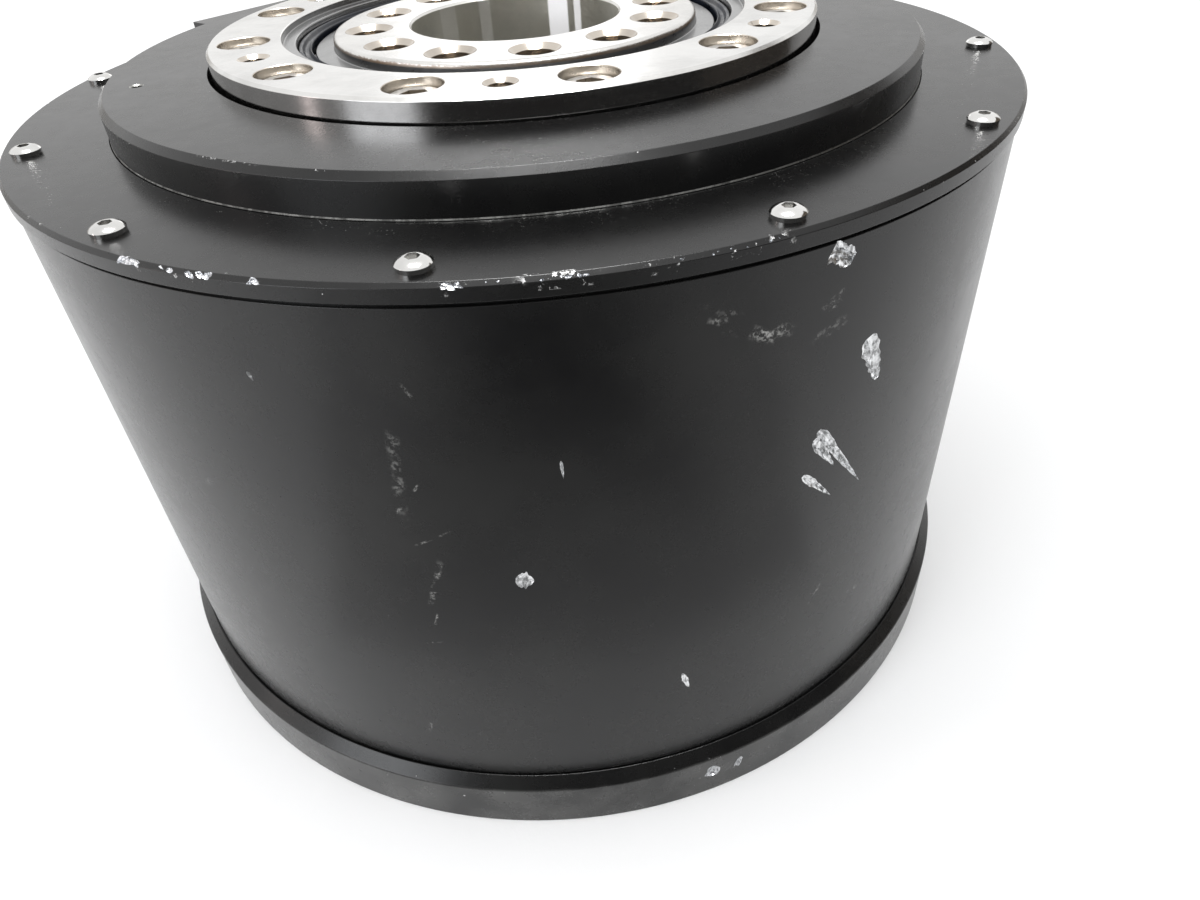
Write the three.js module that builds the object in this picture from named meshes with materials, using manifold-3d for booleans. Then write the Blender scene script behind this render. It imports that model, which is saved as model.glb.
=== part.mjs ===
// A hollow-shaft planetary gearbox in a drum housing, standing on its base.
// Two planetary stages share one ring gear. The output flange turns in a crossed roller bearing on top,
// the hollow input hub is in the middle of the base, and an open passage runs through the whole axis.
// Millimetres, +Z up along the shared axis, origin at the middle of the base's underside.
import * as THREE from "three";
import { mergeVertices } from "three/addons/utils/BufferGeometryUtils.js";
import Module from "manifold-3d";

const wasm = await Module();
wasm.setup();

const DEG = Math.PI / 180;
const FIT_GAP = 0.3; // between pieces that fit into each other
const OVERSHOOT = 1; // how far a cutter runs past the face it starts from

// Housing
const BASE_RADIUS = 112.2;
const BASE_LIP_HEIGHT = 12.4;
const BASE_TOP = 14.8;
const BASE_TOP_RADIUS = 109.8;
const BASE_SPIGOT_TOP = 22;
const BASE_POCKET_FLOOR = 12;
const BASE_POCKET_RADII = [50, 92];
const MOUNT_HOLE = { count: 8, circle: 98, radius: 2.5, depth: 9, first: 22.5 };
const CAN_RADIUS = 109.3;
const CAN_BORE = 101;
const SEAM = 0.3; // gasket line under the cover
const COVER_TOP = 135.4;
const COVER_BOTTOM = 132.3;
const COVER_RADIUS = 110;
const COVER_CHAMFER = 0.7;
const SPIGOT_GAP = 0.4;
const SPIGOT_RADIUS = CAN_BORE - SPIGOT_GAP;

// Bearing carrier: the raised boss, its shoulder under the cover and the flat pad at its side
const BOSS_RADIUS = 89.6;
const BOSS_TOP = 142.9;
const BOSS_CHAMFER = 1.2;
const BOSS_BORE = 69;
const CARRIER_BOTTOM = 94;
const CARRIER_CAVITY = { radius: 78, roof: 107 };
const LEDGE_BORE = 52.5;
const PAD = { angle: 137, face: 89.3, inner: 72, width: 57 };
const WITNESS_HOLE = { circle: 82, angle: 196, radius: 1.4, depth: 5 };

// Output bearing
const RING_BOTTOM = 127.2;
const RING_TOP = 147.2;
const RING_RADIUS = 67.3;
const RING_CHAMFER = 0.6;
const RING_INNER_EDGE = 51.7;
const RING_STEP_TOP = 145.7;
const RING_WALL = 48.95;
const FLANGE_TOP = 146.1;
const FLANGE_BOTTOM = 120;
const FLANGE_RADIUS = 41;
const FLANGE_EDGE = 0.8;
const FLANGE_SHOULDER = { radius: 45.3, top: 143.4 };
const FLANGE_BORE = 23.65;
const GROOVE = { height: 136.4, depth: 4 };
const ROLLER = { count: 18, radius: 3.6, length: 6.8, lean: 45 };
const ROLLER_CAGE = { inner: 46.5, outer: 47.75, height: 5 };
const OUTPUT_SEAL = { inner: 45.9, outer: 48.65, bottom: 141.3, top: 144.6 };

// Fasteners and tapped holes, as angles in degrees from +X
const COVER_SCREW = { count: 12, circle: 104.8, first: -99.6, shank: 1.5, bottom: 126 };
const COVER_SCREW_HEAD = { radius: 2.85, height: 1.65, edge: 2.55, edgeHeight: 1, crown: 1.4 };
const COVER_SCREW_HOLE = { radius: 1.8, bottom: 124.5 };
const RING_SCREW = { count: 12, circle: 59.5, first: -108.6, shank: 3, bottom: 112 };
const RING_SCREW_HEAD = { radius: 5, height: 6 };
const COUNTERBORE = { radius: 5.5, floor: 139.7 };
const RING_SCREW_HOLE = { radius: 3.6, bottom: 110 };
const JACK_HOLE = { count: 6, circle: 59.2, first: -93.6, radius: 2.6, depth: 16 };
const FLANGE_HOLE = { count: 12, circle: 33, first: -84.5, radius: 4.25, depth: 19 };

// Gears
const GEAR_MODULE = 2.5;
const PRESSURE_ANGLE = 20 * DEG;
const BACKLASH = 0.15; // taken off each flank
const SUN_TEETH = 24;
const PLANET_TEETH = 21;
const RING_TEETH = SUN_TEETH + 2 * PLANET_TEETH;
const PLANETS = 3;
const ADDENDUM = GEAR_MODULE;
const DEDENDUM = 1.25 * GEAR_MODULE;
const SUN_MARGIN = 1; // how far a sun gear reaches past its planets
const PLANET_CIRCLE = ((SUN_TEETH + PLANET_TEETH) * GEAR_MODULE) / 2;
const FIRST_STAGE = { bottom: 27, top: 44, turn: 60 };
const SECOND_STAGE = { bottom: 65, top: 92, turn: 0 };

// Rotating pieces along the axis
const TUBE = { inner: 15.5, outer: 18, bottom: 0.6, collar: 23.2, collarHeight: 3 };
const SHAFT_BORE = 18.6;
const HUB_RADIUS = 25.8;
const HUB_BOTTOM = 1;
const HUB_TOP = 22;
const HUB_HOLE = { count: 6, circle: 22.2, radius: 1.7, depth: 10 };
const OUTPUT_PLATE = { bottom: 95, top: 105, radius: 74, neck: 45 };
const LOWER_PLATE = { bottom: 56, top: 62, radius: 74, bore: 36.3 };
const POST = { circle: 58, radius: 8, turn: 60 };
const FIRST_PLATE = { bottom: 47, top: 54, radius: 72 };
const SECOND_SUN_HUB = 26;
const FIRST_PIN = { radius: 7, bottom: 26 };
const SECOND_PIN = { radius: 8, bottom: 56.5 };
const BUSH_RADIUS = 11;
const INPUT_BEARING = { bottom: 9, top: 19, inner: 26.1, race: 29.2, outerRace: 36, outer: 39 };
const BALL = { count: 8, circle: 32.5, radius: 3 };
const BALL_CAGE = { inner: 31.9, outer: 33.1, height: 3 };
const INPUT_SEAL = { inner: 26.2, outer: 35.7, bottom: 1.5, top: 6.7 };
const SEAL_SEAT = { radius: 36, top: 7 };

// Sides of the round shapes
const LARGE_SIDES = 64;
const MEDIUM_SIDES = 32;
const PIN_SIDES = 12;
const SOCKET_SIDES = 8;
const HOLE_SIDES = 6;
const BALL_ROWS = 4;

const blackAnodised = material(0x17181a, 0.42, 0.6);
const groundSteel = material(0xb9babc, 0.24, 1);
const rawSteel = material(0x8b8d8f, 0.38, 1);
const gearSteel = material(0x6f7275, 0.32, 1);
const stainless = material(0xd4d5d6, 0.18, 1);
const bronze = material(0x9c7444, 0.4, 1);
const sealRubber = material(0x1c2430, 0.6, 0);

function material(color, roughness, metalness) {
  return new THREE.MeshStandardMaterial({ color, roughness, metalness });
}

// A closed three.js geometry as a manifold-3d solid.
function solid(geometry) {
  const plain = geometry.clone();
  plain.deleteAttribute("normal");
  plain.deleteAttribute("uv");
  const merged = mergeVertices(plain, 1e-4);
  return new wasm.Manifold(
    new wasm.Mesh({
      numProp: 3,
      vertProperties: merged.attributes.position.array,
      triVerts: new Uint32Array(merged.index.array),
    }),
  );
}

function geometryOf(made) {
  const mesh = made.getMesh();
  const geometry = new THREE.BufferGeometry();
  geometry.setAttribute("position", new THREE.BufferAttribute(mesh.vertProperties, 3));
  geometry.setIndex(new THREE.BufferAttribute(mesh.triVerts, 1));
  geometry.computeVertexNormals();
  return geometry;
}

// A profile of [radius, height] points turned round the Z axis, up its outside and down its inside.
function turned(profile, sides) {
  const closed = profile[0][0] === 0 ? profile : [...profile, profile[0]];
  const points = closed.map(([radius, height]) => new THREE.Vector2(radius, height));
  return solid(new THREE.LatheGeometry(points, sides).rotateX(Math.PI / 2));
}

function tubeOf(inner, outer, bottom, top, sides) {
  return turned([[inner, bottom], [outer, bottom], [outer, top], [inner, top]], sides);
}

function rod(radius, bottom, top, sides) {
  return turned([[0, bottom], [radius, bottom], [radius, top], [0, top]], sides);
}

// The places of a ring of equal pieces, each with its angle in radians.
function placesOn({ count, circle, first = 0 }) {
  return Array.from({ length: count }, (_, index) => {
    const angle = first * DEG + (index * 2 * Math.PI) / count;
    return { index, angle, x: circle * Math.cos(angle), y: circle * Math.sin(angle) };
  });
}

function drill(made, holes, radius, bottom, top, sides = HOLE_SIDES) {
  const drillBit = rod(radius, bottom, top, sides);
  return placesOn(holes).reduce((left, { x, y }) => left.subtract(drillBit.translate([x, y, 0])), made);
}

function involute(angle) {
  return Math.tan(angle) - angle;
}

// Half the angle of a tooth, or of the space between two teeth of an internal gear, at a radius.
function halfToothAngle(teeth, radius, extra) {
  const pitchRadius = (teeth * GEAR_MODULE) / 2;
  const baseRadius = pitchRadius * Math.cos(PRESSURE_ANGLE);
  const flankAngle = radius > baseRadius ? Math.acos(baseRadius / radius) : 0;
  const width = (Math.PI * GEAR_MODULE) / 2 + 2 * extra;
  return width / (2 * pitchRadius) + involute(PRESSURE_ANGLE) - involute(flankAngle);
}

// The outline of a gear with a tooth centred at the first angle, each flank as one chord.
function gearOutline(teeth, inward, outward, extra, firstAngle) {
  const pitchRadius = (teeth * GEAR_MODULE) / 2;
  const radii = [pitchRadius - inward, pitchRadius + outward];
  const points = [];
  for (let tooth = 0; tooth < teeth; tooth += 1) {
    const centre = firstAngle + (tooth * 2 * Math.PI) / teeth;
    const flank = radii.map((radius) => ({ radius, half: halfToothAngle(teeth, radius, extra) }));
    const rising = flank.map(({ radius, half }) => [radius, centre - half]);
    const falling = flank.map(({ radius, half }) => [radius, centre + half]).reverse();
    for (const [radius, angle] of [...rising, ...falling]) {
      points.push(new THREE.Vector2(radius * Math.cos(angle), radius * Math.sin(angle)));
    }
  }
  return points;
}

function extruded(points, bottom, top) {
  const settings = { depth: top - bottom, bevelEnabled: false };
  const geometry = new THREE.ExtrudeGeometry(new THREE.Shape(points), settings);
  return solid(geometry.translate(0, 0, bottom));
}

function externalGear(teeth, bottom, top, firstAngle) {
  return extruded(gearOutline(teeth, DEDENDUM, ADDENDUM, -BACKLASH, firstAngle), bottom, top);
}

function basePlate() {
  const [pocketInner, pocketOuter] = BASE_POCKET_RADII;
  const bearingSeat = INPUT_BEARING.outer + FIT_GAP;
  const body = turned(
    [
      [SEAL_SEAT.radius, 0],
      [BASE_RADIUS, 0],
      [BASE_RADIUS, BASE_LIP_HEIGHT],
      [BASE_TOP_RADIUS, BASE_TOP],
      [SPIGOT_RADIUS, BASE_TOP],
      [SPIGOT_RADIUS, BASE_SPIGOT_TOP],
      [pocketOuter, BASE_SPIGOT_TOP],
      [pocketOuter, BASE_POCKET_FLOOR],
      [pocketInner, BASE_POCKET_FLOOR],
      [pocketInner, BASE_SPIGOT_TOP],
      [bearingSeat, BASE_SPIGOT_TOP],
      [bearingSeat, SEAL_SEAT.top],
      [SEAL_SEAT.radius, SEAL_SEAT.top],
    ],
    LARGE_SIDES,
  );
  return drill(body, MOUNT_HOLE, MOUNT_HOLE.radius, -OVERSHOOT, MOUNT_HOLE.depth);
}

function canShell() {
  const top = COVER_BOTTOM - SEAM;
  const wall = tubeOf(CAN_BORE, CAN_RADIUS, BASE_TOP, top, LARGE_SIDES);
  return drill(wall, COVER_SCREW, COVER_SCREW_HOLE.radius, COVER_SCREW_HOLE.bottom, top + OVERSHOOT);
}

function coverPlate() {
  const plate = turned(
    [
      [BOSS_RADIUS + FIT_GAP, COVER_BOTTOM],
      [COVER_RADIUS, COVER_BOTTOM],
      [COVER_RADIUS, COVER_TOP - COVER_CHAMFER],
      [COVER_RADIUS - COVER_CHAMFER, COVER_TOP],
      [BOSS_RADIUS + FIT_GAP, COVER_TOP],
    ],
    LARGE_SIDES,
  );
  const floor = COVER_BOTTOM - OVERSHOOT;
  return drill(plate, COVER_SCREW, COVER_SCREW_HOLE.radius, floor, COVER_TOP + OVERSHOOT);
}

function bearingCarrier() {
  const shoulder = COVER_BOTTOM - SEAM;
  const body = turned(
    [
      [CARRIER_CAVITY.radius, CARRIER_BOTTOM],
      [SPIGOT_RADIUS, CARRIER_BOTTOM],
      [SPIGOT_RADIUS, shoulder],
      [BOSS_RADIUS, shoulder],
      [BOSS_RADIUS, BOSS_TOP - BOSS_CHAMFER],
      [BOSS_RADIUS - BOSS_CHAMFER, BOSS_TOP],
      [BOSS_BORE, BOSS_TOP],
      [BOSS_BORE, RING_BOTTOM],
      [LEDGE_BORE, RING_BOTTOM],
      [LEDGE_BORE, CARRIER_CAVITY.roof],
      [CARRIER_CAVITY.radius, CARRIER_CAVITY.roof],
    ],
    LARGE_SIDES,
  );
  const padBottom = COVER_TOP + FIT_GAP;
  const padShape = new THREE.BoxGeometry(PAD.face - PAD.inner, PAD.width, BOSS_TOP - padBottom);
  padShape.translate((PAD.face + PAD.inner) / 2, 0, (BOSS_TOP + padBottom) / 2);
  padShape.rotateZ(PAD.angle * DEG);
  const withPad = body.add(solid(padShape));
  const screwed = drill(withPad, RING_SCREW, RING_SCREW_HOLE.radius, RING_SCREW_HOLE.bottom, BOSS_TOP);
  const witness = { count: 1, circle: WITNESS_HOLE.circle, first: WITNESS_HOLE.angle };
  const floor = BOSS_TOP - WITNESS_HOLE.depth;
  return drill(screwed, witness, WITNESS_HOLE.radius, floor, BOSS_TOP + OVERSHOOT);
}

function ringGear() {
  const blank = rod(SPIGOT_RADIUS, BASE_SPIGOT_TOP, CARRIER_BOTTOM, LARGE_SIDES);
  const spaces = gearOutline(RING_TEETH, ADDENDUM, DEDENDUM, BACKLASH, 0);
  return blank.subtract(extruded(spaces, BASE_SPIGOT_TOP - OVERSHOOT, CARRIER_BOTTOM + OVERSHOOT));
}

function bearingOuterRing() {
  const { height, depth } = GROOVE;
  const body = turned(
    [
      [RING_WALL, RING_BOTTOM],
      [RING_RADIUS, RING_BOTTOM],
      [RING_RADIUS, RING_TOP - RING_CHAMFER],
      [RING_RADIUS - RING_CHAMFER, RING_TOP],
      [RING_INNER_EDGE, RING_TOP],
      [RING_INNER_EDGE, RING_STEP_TOP],
      [RING_WALL, RING_STEP_TOP],
      [RING_WALL, height + depth],
      [RING_WALL + depth, height],
      [RING_WALL, height - depth],
    ],
    LARGE_SIDES,
  );
  const above = RING_TOP + OVERSHOOT;
  const bored = drill(body, RING_SCREW, RING_SCREW_HOLE.radius, RING_BOTTOM - OVERSHOOT, RING_TOP);
  const sunk = drill(bored, RING_SCREW, COUNTERBORE.radius, COUNTERBORE.floor, above, SOCKET_SIDES);
  return drill(sunk, JACK_HOLE, JACK_HOLE.radius, RING_TOP - JACK_HOLE.depth, above);
}

function outputFlange() {
  const { height, depth } = GROOVE;
  const body = turned(
    [
      [FLANGE_BORE, FLANGE_BOTTOM],
      [FLANGE_SHOULDER.radius, FLANGE_BOTTOM],
      [FLANGE_SHOULDER.radius, height - depth],
      [FLANGE_SHOULDER.radius - depth, height],
      [FLANGE_SHOULDER.radius, height + depth],
      [FLANGE_SHOULDER.radius, FLANGE_SHOULDER.top],
      [FLANGE_RADIUS, FLANGE_SHOULDER.top],
      [FLANGE_RADIUS, FLANGE_TOP - FLANGE_EDGE],
      [FLANGE_RADIUS - FLANGE_EDGE, FLANGE_TOP],
      [FLANGE_BORE + FLANGE_EDGE, FLANGE_TOP],
      [FLANGE_BORE, FLANGE_TOP - FLANGE_EDGE],
    ],
    MEDIUM_SIDES,
  );
  const floor = FLANGE_TOP - FLANGE_HOLE.depth;
  return drill(body, FLANGE_HOLE, FLANGE_HOLE.radius, floor, FLANGE_TOP + OVERSHOOT, SOCKET_SIDES);
}

// The crossed rollers, every second one leaning the other way, held together by their thin cage.
function rollerCage() {
  const middle = (RING_WALL + FLANGE_SHOULDER.radius) / 2;
  const bottom = GROOVE.height - ROLLER_CAGE.height / 2;
  const band = tubeOf(
    ROLLER_CAGE.inner,
    ROLLER_CAGE.outer,
    bottom,
    bottom + ROLLER_CAGE.height,
    MEDIUM_SIDES,
  );
  const rollers = placesOn({ count: ROLLER.count, circle: middle }).map(({ index, angle, x, y }) => {
    const lean = (index % 2 === 0 ? ROLLER.lean : -ROLLER.lean) * DEG;
    const roller = new THREE.CylinderGeometry(ROLLER.radius, ROLLER.radius, ROLLER.length, HOLE_SIDES);
    roller.rotateX(Math.PI / 2).rotateY(lean).rotateZ(angle).translate(x, y, GROOVE.height);
    return solid(roller);
  });
  return rollers.reduce((joined, roller) => joined.add(roller), band);
}

function ballCage() {
  const { bottom, top } = INPUT_BEARING;
  const middle = (bottom + top) / 2;
  const lower = middle - BALL_CAGE.height / 2;
  const upper = middle + BALL_CAGE.height / 2;
  const band = tubeOf(BALL_CAGE.inner, BALL_CAGE.outer, lower, upper, MEDIUM_SIDES);
  return placesOn(BALL).reduce((joined, { x, y }) => {
    const ball = new THREE.SphereGeometry(BALL.radius, HOLE_SIDES, BALL_ROWS).translate(x, y, middle);
    return joined.add(solid(ball));
  }, band);
}

// The upper planet carrier of the second stage, with the three posts that hold the lower plate.
function outputCarrier() {
  const body = turned(
    [
      [SHAFT_BORE, OUTPUT_PLATE.bottom],
      [OUTPUT_PLATE.radius, OUTPUT_PLATE.bottom],
      [OUTPUT_PLATE.radius, OUTPUT_PLATE.top],
      [OUTPUT_PLATE.neck, OUTPUT_PLATE.top],
      [OUTPUT_PLATE.neck, FLANGE_BOTTOM],
      [SHAFT_BORE, FLANGE_BOTTOM],
    ],
    MEDIUM_SIDES,
  );
  const post = rod(POST.radius, LOWER_PLATE.top, OUTPUT_PLATE.bottom + OVERSHOOT, PIN_SIDES);
  const posts = placesOn({ count: PLANETS, circle: POST.circle, first: SECOND_STAGE.turn + POST.turn });
  const posted = posts.reduce((joined, { x, y }) => joined.add(post.translate([x, y, 0])), body);
  return drillForPins(posted, SECOND_STAGE, SECOND_PIN, OUTPUT_PLATE);
}

function drillForPins(made, stage, pin, plate) {
  const holes = { count: PLANETS, circle: PLANET_CIRCLE, first: stage.turn };
  const floor = plate.bottom - OVERSHOOT;
  return drill(made, holes, pin.radius + FIT_GAP, floor, plate.top + OVERSHOOT, PIN_SIDES);
}

function lowerPlate() {
  const { bottom, top, radius, bore } = LOWER_PLATE;
  const disc = tubeOf(bore, radius, bottom, top, MEDIUM_SIDES);
  return drillForPins(disc, SECOND_STAGE, SECOND_PIN, LOWER_PLATE);
}

function firstPlate() {
  const { bottom, top, radius } = FIRST_PLATE;
  const disc = tubeOf(SHAFT_BORE, radius, bottom, top, MEDIUM_SIDES);
  return drillForPins(disc, FIRST_STAGE, FIRST_PIN, FIRST_PLATE);
}

function hollowTube() {
  const collarTop = FLANGE_BOTTOM + TUBE.collarHeight;
  return turned(
    [
      [TUBE.inner, TUBE.bottom],
      [TUBE.outer, TUBE.bottom],
      [TUBE.outer, FLANGE_BOTTOM],
      [TUBE.collar, FLANGE_BOTTOM],
      [TUBE.collar, collarTop],
      [TUBE.inner, collarTop],
    ],
    MEDIUM_SIDES,
  );
}

function sunGear(stage, hubRadius, hubBottom) {
  const top = stage.top + SUN_MARGIN;
  const teeth = externalGear(SUN_TEETH, stage.bottom - SUN_MARGIN, top, 0);
  const hub = rod(hubRadius, hubBottom, stage.bottom, MEDIUM_SIDES);
  const bore = rod(SHAFT_BORE, hubBottom - OVERSHOOT, top + OVERSHOOT, MEDIUM_SIDES);
  return teeth.add(hub).subtract(bore);
}

function inputHub() {
  const sleeve = tubeOf(SHAFT_BORE, HUB_RADIUS, HUB_BOTTOM, HUB_TOP, MEDIUM_SIDES);
  const floor = HUB_BOTTOM - OVERSHOOT;
  return drill(sleeve, HUB_HOLE, HUB_HOLE.radius, floor, HUB_BOTTOM + HUB_HOLE.depth);
}

// A planet with its middle on the Z axis, its teeth set to mesh with a sun tooth that points at it.
function planetGear(stage, bore) {
  const firstAngle = Math.PI - Math.PI / PLANET_TEETH;
  const gear = externalGear(PLANET_TEETH, stage.bottom, stage.top, firstAngle);
  return gear.subtract(rod(bore, stage.bottom - OVERSHOOT, stage.top + OVERSHOOT, PIN_SIDES));
}

function coverScrew() {
  const { radius, height, edge, edgeHeight, crown } = COVER_SCREW_HEAD;
  return turned(
    [
      [0, COVER_SCREW.bottom],
      [COVER_SCREW.shank, COVER_SCREW.bottom],
      [COVER_SCREW.shank, COVER_TOP],
      [radius, COVER_TOP],
      [edge, COVER_TOP + edgeHeight],
      [crown, COVER_TOP + height],
      [0, COVER_TOP + height],
    ],
    HOLE_SIDES,
  );
}

function ringScrew() {
  const { radius, height } = RING_SCREW_HEAD;
  return turned(
    [
      [0, RING_SCREW.bottom],
      [RING_SCREW.shank, RING_SCREW.bottom],
      [RING_SCREW.shank, COUNTERBORE.floor],
      [radius, COUNTERBORE.floor],
      [radius, COUNTERBORE.floor + height],
      [0, COUNTERBORE.floor + height],
    ],
    HOLE_SIDES,
  );
}

const gearbox = new THREE.Group();

function addNode(parent, name, made, surface) {
  const mesh = new THREE.Mesh(geometryOf(made), surface);
  mesh.name = name;
  parent.add(mesh);
  return mesh;
}

function addScrews(prefix, pattern, made, surface) {
  for (const { index, angle, x, y } of placesOn(pattern)) {
    const screw = addNode(gearbox, `${prefix}_${String(index + 1).padStart(2, "0")}`, made, surface);
    screw.position.set(x, y, 0);
    screw.rotation.z = angle;
  }
}

// One stage's three copies of a planet, pin or bush, each turned with its place round the axis.
function addRound(prefix, stage, made, surface) {
  const places = placesOn({ count: PLANETS, circle: PLANET_CIRCLE, first: stage.turn });
  for (const { index, angle, x, y } of places) {
    const copy = addNode(gearbox, `${prefix}_${index + 1}`, made, surface);
    copy.position.set(x, y, 0);
    copy.rotation.z = angle;
  }
}

function bearingRace(inner, outer) {
  return tubeOf(inner, outer, INPUT_BEARING.bottom, INPUT_BEARING.top, MEDIUM_SIDES);
}

function oilSeal({ inner, outer, bottom, top }) {
  return tubeOf(inner, outer, bottom, top, MEDIUM_SIDES);
}

const innerRace = bearingRace(INPUT_BEARING.inner, INPUT_BEARING.race);
const outerRace = bearingRace(INPUT_BEARING.outerRace, INPUT_BEARING.outer);
const bushBore = SECOND_PIN.radius + FIT_GAP;
const bush = tubeOf(bushBore, BUSH_RADIUS, SECOND_STAGE.bottom, SECOND_STAGE.top, PIN_SIDES);
const firstPin = rod(FIRST_PIN.radius, FIRST_PIN.bottom, FIRST_PLATE.top, PIN_SIDES);
const secondPin = rod(SECOND_PIN.radius, SECOND_PIN.bottom, OUTPUT_PLATE.top, PIN_SIDES);
const firstPlanet = planetGear(FIRST_STAGE, FIRST_PIN.radius + FIT_GAP);
const secondPlanet = planetGear(SECOND_STAGE, BUSH_RADIUS + FIT_GAP);

addNode(gearbox, "base_plate", basePlate(), blackAnodised);
addNode(gearbox, "can_shell", canShell(), blackAnodised);
addNode(gearbox, "cover_plate", coverPlate(), blackAnodised);
addNode(gearbox, "bearing_carrier", bearingCarrier(), blackAnodised);
addNode(gearbox, "ring_gear", ringGear(), gearSteel);
addNode(gearbox, "bearing_outer_ring", bearingOuterRing(), groundSteel);
addNode(gearbox, "output_oil_seal", oilSeal(OUTPUT_SEAL), sealRubber);
addNode(gearbox, "input_bearing_outer_race", outerRace, rawSteel);
addNode(gearbox, "input_oil_seal", oilSeal(INPUT_SEAL), sealRubber);
addScrews("cover_screw", COVER_SCREW, coverScrew(), stainless);
addScrews("ring_screw", RING_SCREW, ringScrew(), rawSteel);

addNode(gearbox, "output_flange", outputFlange(), groundSteel);
addNode(gearbox, "output_carrier", outputCarrier(), rawSteel);
addNode(gearbox, "output_carrier_lower_plate", lowerPlate(), rawSteel);
addNode(gearbox, "hollow_tube", hollowTube(), rawSteel);
addNode(gearbox, "roller_cage", rollerCage(), gearSteel);
addRound("second_stage_pin", SECOND_STAGE, secondPin, rawSteel);
addRound("second_stage_bush", SECOND_STAGE, bush, bronze);
addRound("second_stage_planet", SECOND_STAGE, secondPlanet, gearSteel);

addNode(gearbox, "second_sun_gear", sunGear(SECOND_STAGE, SECOND_SUN_HUB, FIRST_PLATE.top), gearSteel);
addNode(gearbox, "first_carrier_plate", firstPlate(), rawSteel);
addRound("first_stage_pin", FIRST_STAGE, firstPin, rawSteel);
addRound("first_stage_planet", FIRST_STAGE, firstPlanet, gearSteel);

addNode(gearbox, "first_sun_gear", sunGear(FIRST_STAGE, HUB_RADIUS, HUB_TOP), gearSteel);
addNode(gearbox, "input_hub", inputHub(), rawSteel);
addNode(gearbox, "input_bearing_inner_race", innerRace, rawSteel);
addNode(gearbox, "input_bearing_balls", ballCage(), gearSteel);

export default gearbox;
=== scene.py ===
"""A worn hollow-shaft planetary gearbox on a pale floor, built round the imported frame. Metres, +Z up."""

import math
import random

import bmesh
import bpy
from mathutils import Matrix, Vector, noise


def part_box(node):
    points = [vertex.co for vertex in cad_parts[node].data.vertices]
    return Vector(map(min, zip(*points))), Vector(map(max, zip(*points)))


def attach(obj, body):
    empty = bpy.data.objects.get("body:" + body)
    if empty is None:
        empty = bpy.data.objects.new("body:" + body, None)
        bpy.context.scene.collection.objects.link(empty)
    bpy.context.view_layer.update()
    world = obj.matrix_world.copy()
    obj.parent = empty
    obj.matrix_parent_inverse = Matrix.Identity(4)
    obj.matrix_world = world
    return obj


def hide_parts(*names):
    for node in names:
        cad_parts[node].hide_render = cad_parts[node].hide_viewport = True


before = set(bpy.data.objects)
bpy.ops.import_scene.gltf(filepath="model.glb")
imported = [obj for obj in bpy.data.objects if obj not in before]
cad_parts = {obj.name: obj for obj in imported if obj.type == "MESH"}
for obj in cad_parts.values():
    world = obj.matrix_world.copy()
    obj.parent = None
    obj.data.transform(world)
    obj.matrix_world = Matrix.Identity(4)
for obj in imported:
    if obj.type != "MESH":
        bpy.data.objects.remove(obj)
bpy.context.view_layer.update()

MM = 0.001
SIDES = 256
MEDIUM_SIDES = 160
FINE_HOLE_SIDES = 48
SHARP_ANGLE = math.radians(32)
random.seed(11)


# ------------------------------------------------ sizes, in millimetres


def reach(node):
    """(outer radius, bottom, top) of a round node on the axis, in millimetres."""
    low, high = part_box(node)
    return high[0] / MM, low[2] / MM, high[2] / MM


def middle_of(node):
    """(distance from the axis, angle in degrees, bottom, top) of a node that stands off the axis."""
    low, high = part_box(node)
    x = (low[0] + high[0]) / 2
    y = (low[1] + high[1]) / 2
    return math.hypot(x, y) / MM, math.degrees(math.atan2(y, x)), low[2] / MM, high[2] / MM


BASE_RADIUS, _, BASE_SPIGOT_TOP = reach("base_plate")
CAN_RADIUS, BASE_TOP, CAN_TOP = reach("can_shell")
COVER_RADIUS, COVER_BOTTOM, COVER_TOP = reach("cover_plate")
SPIGOT_RADIUS, CARRIER_BOTTOM, BOSS_TOP = reach("bearing_carrier")
RING_RADIUS, RING_BOTTOM, RING_TOP = reach("bearing_outer_ring")
FLANGE_SHOULDER, FLANGE_BOTTOM, FLANGE_TOP = reach("output_flange")
SEAL_OUTER, SEAL_BOTTOM, SEAL_TOP = reach("output_oil_seal")
TUBE_COLLAR, TUBE_BOTTOM, TUBE_TOP = reach("hollow_tube")
HUB_RADIUS, HUB_BOTTOM, HUB_TOP = reach("input_hub")
INPUT_SEAL_OUTER, INPUT_SEAL_BOTTOM, INPUT_SEAL_TOP = reach("input_oil_seal")

CAN_BORE = SPIGOT_RADIUS + 0.4
BASE_LIP = 12.4
BASE_SHOULDER = 109.8
COVER_CHAMFER = 0.7
BOSS_RADIUS = 89.6
BOSS_CHAMFER = 1.2
BOSS_BORE = 68.2
LEDGE_BORE = 52.5
PAD_ANGLE = math.radians(137)
PAD_FACE = 89.3
PAD_INNER = 72.0
PAD_WIDTH = 57.0
RING_CHAMFER = 0.6
RING_INNER = 51.7
RING_STEP = 145.7
RING_WALL = 48.95
FLANGE_RADIUS = 41.0
FLANGE_SHOULDER_TOP = 143.4
FLANGE_BORE = 23.65
ROLLER_HEIGHT = 136.4
GROOVE_DEPTH = 4.0
COUNTERBORE_RADIUS = 5.5
COUNTERBORE_FLOOR = 139.7
TUBE_OUTER = 18.0
TUBE_INNER = 15.5
SHAFT_BORE = 18.6

COVER_SCREWS = [f"cover_screw_{number:02d}" for number in range(1, 13)]
RING_SCREWS = [f"ring_screw_{number:02d}" for number in range(1, 13)]


# ------------------------------------------------ node materials


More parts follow.
